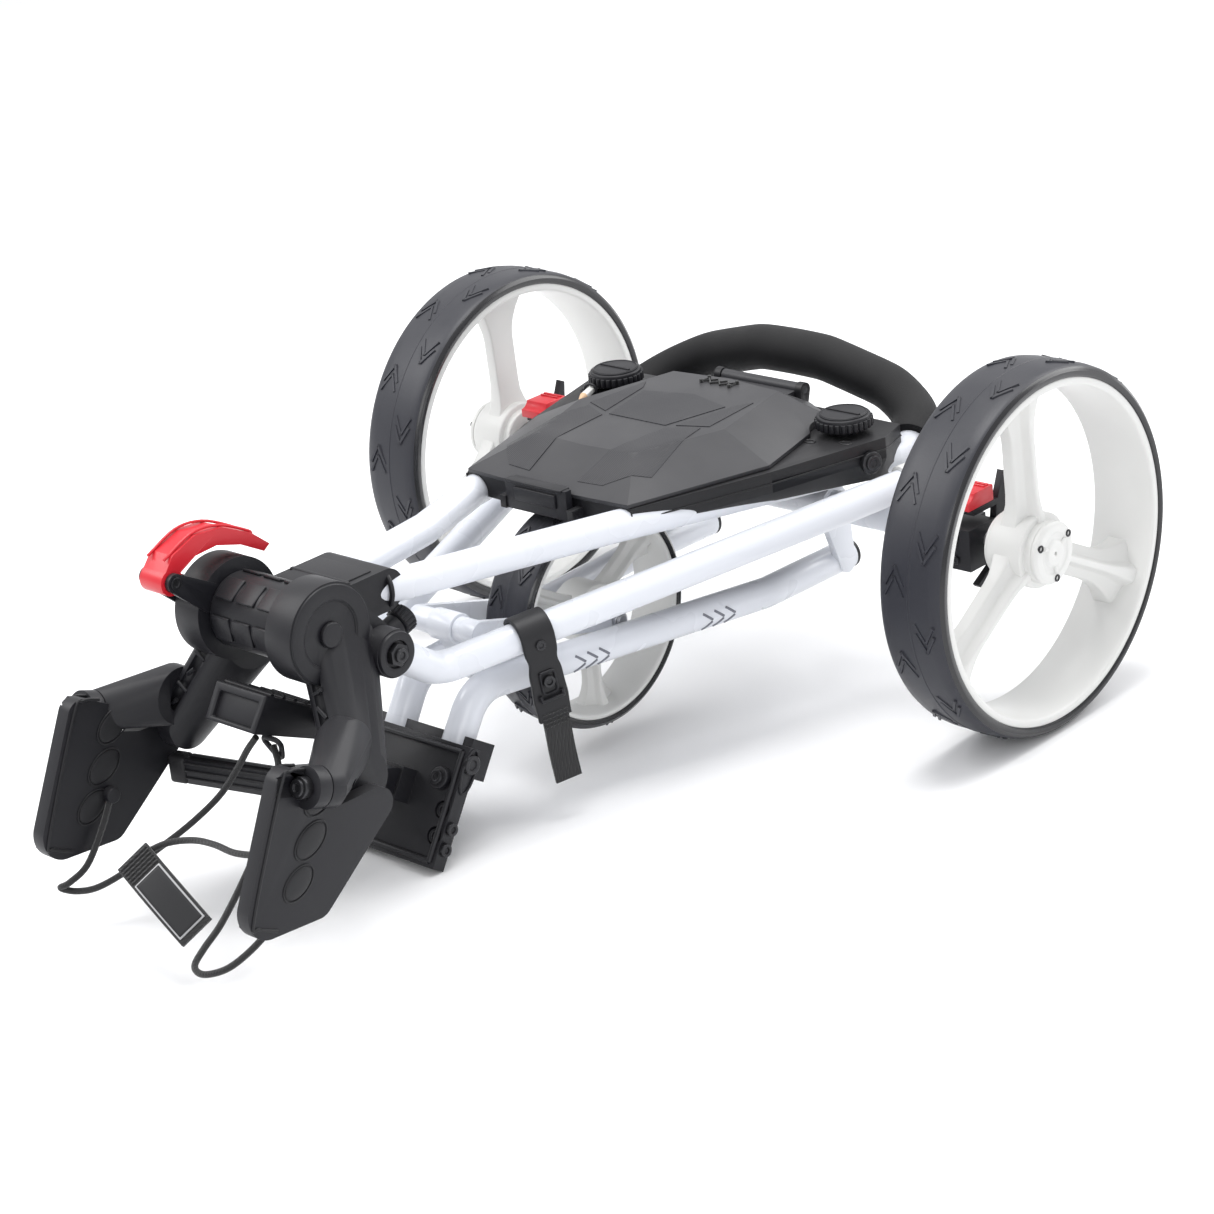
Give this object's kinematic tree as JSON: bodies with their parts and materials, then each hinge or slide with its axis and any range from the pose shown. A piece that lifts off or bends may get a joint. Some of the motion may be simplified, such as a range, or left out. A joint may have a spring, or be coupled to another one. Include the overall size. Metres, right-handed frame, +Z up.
{
  "type": "golf push trolley",
  "caption": "Folding golf bag push trolley, folded flat, with spoked wheels, hinged handle with foam grip, lidded console, bag arms with paddles and foot brakes.",
  "frame": {"origin": "on the floor, in the middle of the width and length of the folded trolley", "axes": "+X across to one rear wheel, +Y to the rear wheels and the handle grip, -Y to the bag arms, +Z up"},
  "size_m": [0.62, 0.8273, 0.296],
  "materials": {
    "white_paint": "gloss powder coat",
    "steel": "satin",
    "black_steel": "satin black",
    "black_plastic": "fine texture",
    "console_plastic": "fine texture",
    "white_plastic": "satin",
    "red_plastic": "satin",
    "tyre": "satin",
    "foam": "soft foam",
    "strap_rubber": "satin",
    "webbing": "woven",
    "mesh": "open knit",
    "cord": "braided"
  },
  "bodies": {
    "chassis": {"axle_tube": "white_paint", "chassis_tube_left": "white_paint", "chassis_tube_right": "white_paint", "tube_plugs": "black_plastic", "fork_bracket": "white_paint", "base_bracket": "black_plastic", "base_screws": "black_steel", "cradle_bar": "black_plastic", "cradle_tips": "strap_rubber", "axle_stubs": "steel", "brake_housing_left": "black_plastic", "brake_housing_right": "black_plastic"},
    "brake_left": {"brake_lever_left": "black_plastic", "brake_pedal_left": "red_plastic"},
    "brake_right": {"brake_lever_right": "black_plastic", "brake_pedal_right": "red_plastic"},
    "wheel_left": {"rear_rim_left": "white_plastic", "rear_tyre_left": "tyre", "hub_cap_left": "white_plastic", "wheel_bearings_left": "steel"},
    "wheel_right": {"rear_rim_right": "white_plastic", "rear_tyre_right": "tyre", "hub_cap_right": "white_plastic", "wheel_bearings_right": "steel"},
    "fork": {"front_fork": "white_paint", "front_axle": "steel"},
    "front_wheel": {"front_rim": "white_plastic", "front_tyre": "tyre", "front_bearings": "steel"},
    "upper_frame": {"frame_tube_left": "white_paint", "frame_tube_right": "white_paint", "frame_knuckles": "white_plastic", "bag_arm_left": "black_plastic", "bag_arm_right": "black_plastic", "hinge_pin": "steel", "frame_bolts": "black_steel", "paddle_pins": "black_steel", "cam_pin": "steel", "buckle": "black_plastic", "bungee_left": "cord", "bungee_right": "cord", "bungee_tag_cord": "cord", "webbing_tag": "webbing"},
    "paddle_left": {"paddle_left": "black_plastic"},
    "paddle_right": {"paddle_right": "black_plastic"},
    "cam_lever": {"cam_lever": "red_plastic"},
    "lock_knob": {"lock_knob": "black_plastic"},
    "strap": {"release_strap": "strap_rubber", "strap_tab": "webbing"},
    "handle": {"hinge_barrel": "black_plastic", "clamp_block": "black_plastic", "handle_tube": "white_paint", "foam_grip": "foam", "console_tray": "console_plastic", "console_bolts": "black_steel", "mesh_pouch": "mesh"},
    "lid": {"console_lid": "console_plastic"},
    "latch": {"lid_latch": "black_plastic"},
    "knob_left": {"knob_left": "black_plastic"},
    "knob_right": {"knob_right": "black_plastic"}
  },
  "joints": [
    {"name": "frame_fold", "type": "hinge", "parent": "chassis", "child": "upper_frame", "pos_m": [0, 0.2605, 0.148], "axis": [-1, 0, 0], "range_deg": [0, 110]},
    {"name": "fork_swing", "type": "hinge", "parent": "chassis", "child": "fork", "pos_m": [0, -0.0895, 0.152], "axis": [1, 0, 0], "range_deg": [0, 165]},
    {"name": "front_wheel_spin", "type": "hinge", "parent": "fork", "child": "front_wheel", "pos_m": [0, 0.0555, 0.111], "axis": [1, 0, 0], "continuous": true},
    {"name": "wheel_left_spin", "type": "hinge", "parent": "chassis", "child": "wheel_left", "pos_m": [-0.28, 0.2605, 0.148], "axis": [1, 0, 0], "continuous": true},
    {"name": "wheel_right_spin", "type": "hinge", "parent": "chassis", "child": "wheel_right", "pos_m": [0.28, 0.2605, 0.148], "axis": [1, 0, 0], "continuous": true},
    {"name": "brake_left_press", "type": "hinge", "parent": "chassis", "child": "brake_left", "pos_m": [-0.228, 0.2825, 0.148], "axis": [1, 0, 0], "range_deg": [0, 9]},
    {"name": "brake_right_press", "type": "hinge", "parent": "chassis", "child": "brake_right", "pos_m": [0.228, 0.2825, 0.148], "axis": [1, 0, 0], "range_deg": [0, 9]},
    {"name": "handle_unfold", "type": "hinge", "parent": "upper_frame", "child": "handle", "pos_m": [0, -0.2565, 0.22], "axis": [1, 0, 0], "range_deg": [0, 160]},
    {"name": "lid_open", "type": "hinge", "parent": "handle", "child": "lid", "pos_m": [0, 0.2845, 0.232], "axis": [-1, 0, 0], "range_deg": [0, 70]},
    {"name": "latch_open", "type": "hinge", "parent": "handle", "child": "latch", "pos_m": [0, 0.0195, 0.21], "axis": [1, 0, 0], "range_deg": [0, 40]},
    {"name": "knob_left_turn", "type": "hinge", "parent": "handle", "child": "knob_left", "pos_m": [-0.123, 0.2405, 0.227], "axis": [0, 0, 1], "continuous": true},
    {"name": "knob_right_turn", "type": "hinge", "parent": "handle", "child": "knob_right", "pos_m": [0.123, 0.2405, 0.227], "axis": [0, 0, 1], "continuous": true},
    {"name": "cam_lever_open", "type": "hinge", "parent": "upper_frame", "child": "cam_lever", "pos_m": [-0.051, -0.3095, 0.258], "axis": [1, 0, 0], "range_deg": [0, 80]},
    {"name": "lock_knob_turn", "type": "hinge", "parent": "upper_frame", "child": "lock_knob", "pos_m": [0.026, -0.1635, 0.186], "axis": [0, 0.9511, 0.309], "continuous": true},
    {"name": "paddle_left_splay", "type": "hinge", "parent": "upper_frame", "child": "paddle_left", "pos_m": [-0.123, -0.3395, 0.151], "axis": [0, 0.9404, -0.3401], "range_deg": [0, 12]},
    {"name": "paddle_right_splay", "type": "hinge", "parent": "upper_frame", "child": "paddle_right", "pos_m": [0.123, -0.3395, 0.151], "axis": [0, -0.9404, 0.3401], "range_deg": [0, 12]},
    {"name": "strap_release", "type": "hinge", "parent": "upper_frame", "child": "strap", "pos_m": [0.0656, -0.0693, 0.152], "axis": [-0.3324, -0.9374, -0.1039], "range_deg": [0, 90]}
  ],
  "couplings": [
    {"joint": "fork_swing", "follows": "frame_fold", "ratio": 1.5}
  ]
}
